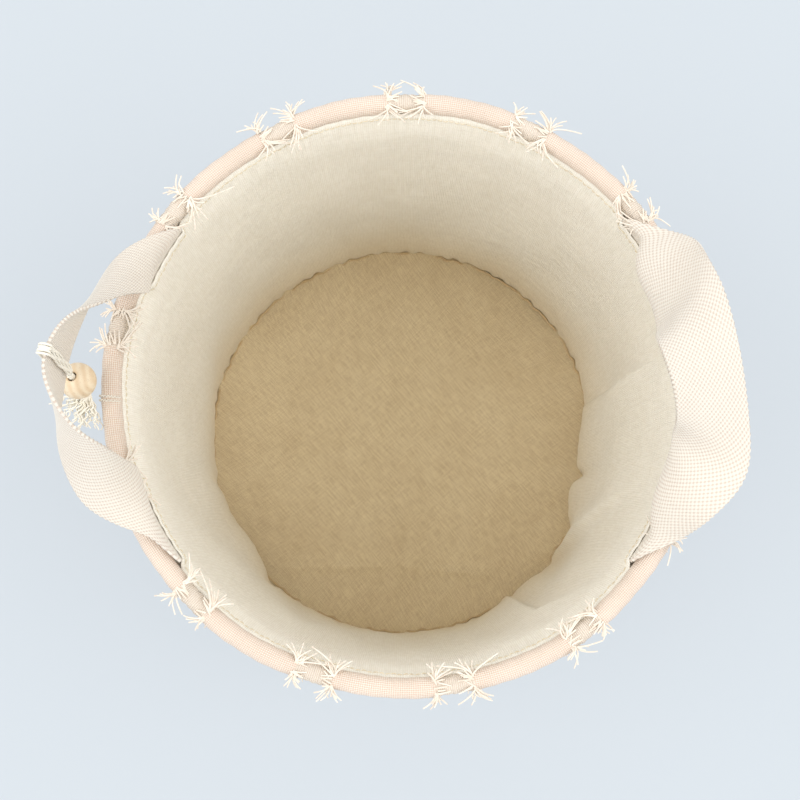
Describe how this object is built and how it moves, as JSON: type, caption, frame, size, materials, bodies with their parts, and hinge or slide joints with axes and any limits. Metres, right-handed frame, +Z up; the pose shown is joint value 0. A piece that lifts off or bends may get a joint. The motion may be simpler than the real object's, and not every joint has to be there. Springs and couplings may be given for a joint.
{
  "type": "fabric storage bin",
  "caption": "Round upright fabric storage bin with a rolled striped rim, loose linen lining, flat base, webbing carry handles at the sides and a beaded tassel.",
  "frame": {"origin": "centre of the underside, on the surface that the bin stands on", "axes": "+Z up, out of the open top. The handles stand at -X and +X, and the tassel hangs from the handle at -X. -Y is the front and +Y the back."},
  "size_m": [0.3673, 0.3408, 0.4379],
  "materials": {
    "blush_cotton": "matt waffle-woven cotton in blush pink with narrow cream bands",
    "cream_cotton": "matt ribbed cream cotton",
    "ivory_webbing": "matt woven ivory cotton webbing with raised dots",
    "lining_linen": "matt plain-woven cream linen",
    "floor_melange": "matt tan melange linen",
    "natural_cotton": "matt natural cotton yarn",
    "sewing_thread": "matt pale thread",
    "core_felt": "matt needled felt",
    "grey_board": null,
    "beech_wood": "fine sanded, unvarnished"
  },
  "bodies": {
    "bin": {"cover_panel_back": "blush_cotton", "cover_panel_front": "blush_cotton", "side_seam_left": "sewing_thread", "side_seam_right": "sewing_thread", "base_cover": "blush_cotton", "base_piping": "cream_cotton", "wall_core": "core_felt", "base_board": "grey_board", "lining_wall": "lining_linen", "lining_floor": "floor_melange", "lining_floor_seam": "lining_linen", "rim_roll": "blush_cotton", "rim_cord": "natural_cotton", "rim_stitching": "sewing_thread", "left_handle_end_back": "ivory_webbing", "left_handle_end_front": "ivory_webbing", "right_handle_end_back": "ivory_webbing", "right_handle_end_front": "ivory_webbing"},
    "left_handle": {"left_handle_webbing": "ivory_webbing", "tassel_loop": "natural_cotton"},
    "right_handle": {"right_handle_webbing": "ivory_webbing"},
    "tassel": {"tassel_cord": "natural_cotton", "tassel_knot": "natural_cotton", "tassel_skirt": "natural_cotton"},
    "bead": {"bead": "beech_wood"}
  },
  "joints": [
    {"name": "left_handle_swing", "type": "hinge", "parent": "bin", "child": "left_handle", "pos_m": [-0.14747, 0, 0.362], "axis": [0, -1, 0], "range_deg": [-70, 45]},
    {"name": "right_handle_swing", "type": "hinge", "parent": "bin", "child": "right_handle", "pos_m": [0.14747, 0, 0.362], "axis": [0, 1, 0], "range_deg": [-70, 50]},
    {"name": "tassel_hang", "type": "hinge", "parent": "left_handle", "child": "tassel", "pos_m": [-0.17932, 0.00278, 0.38211], "axis": [0, -1, 0], "range_deg": [-45, 70]},
    {"name": "bead_spin", "type": "hinge", "parent": "tassel", "child": "bead", "pos_m": [-0.17725, 0.00071, 0.36761], "axis": [0.14, -0.14, -0.9802], "continuous": true}
  ],
  "couplings": [
    {"joint": "tassel_hang", "follows": "left_handle_swing", "ratio": -1}
  ]
}
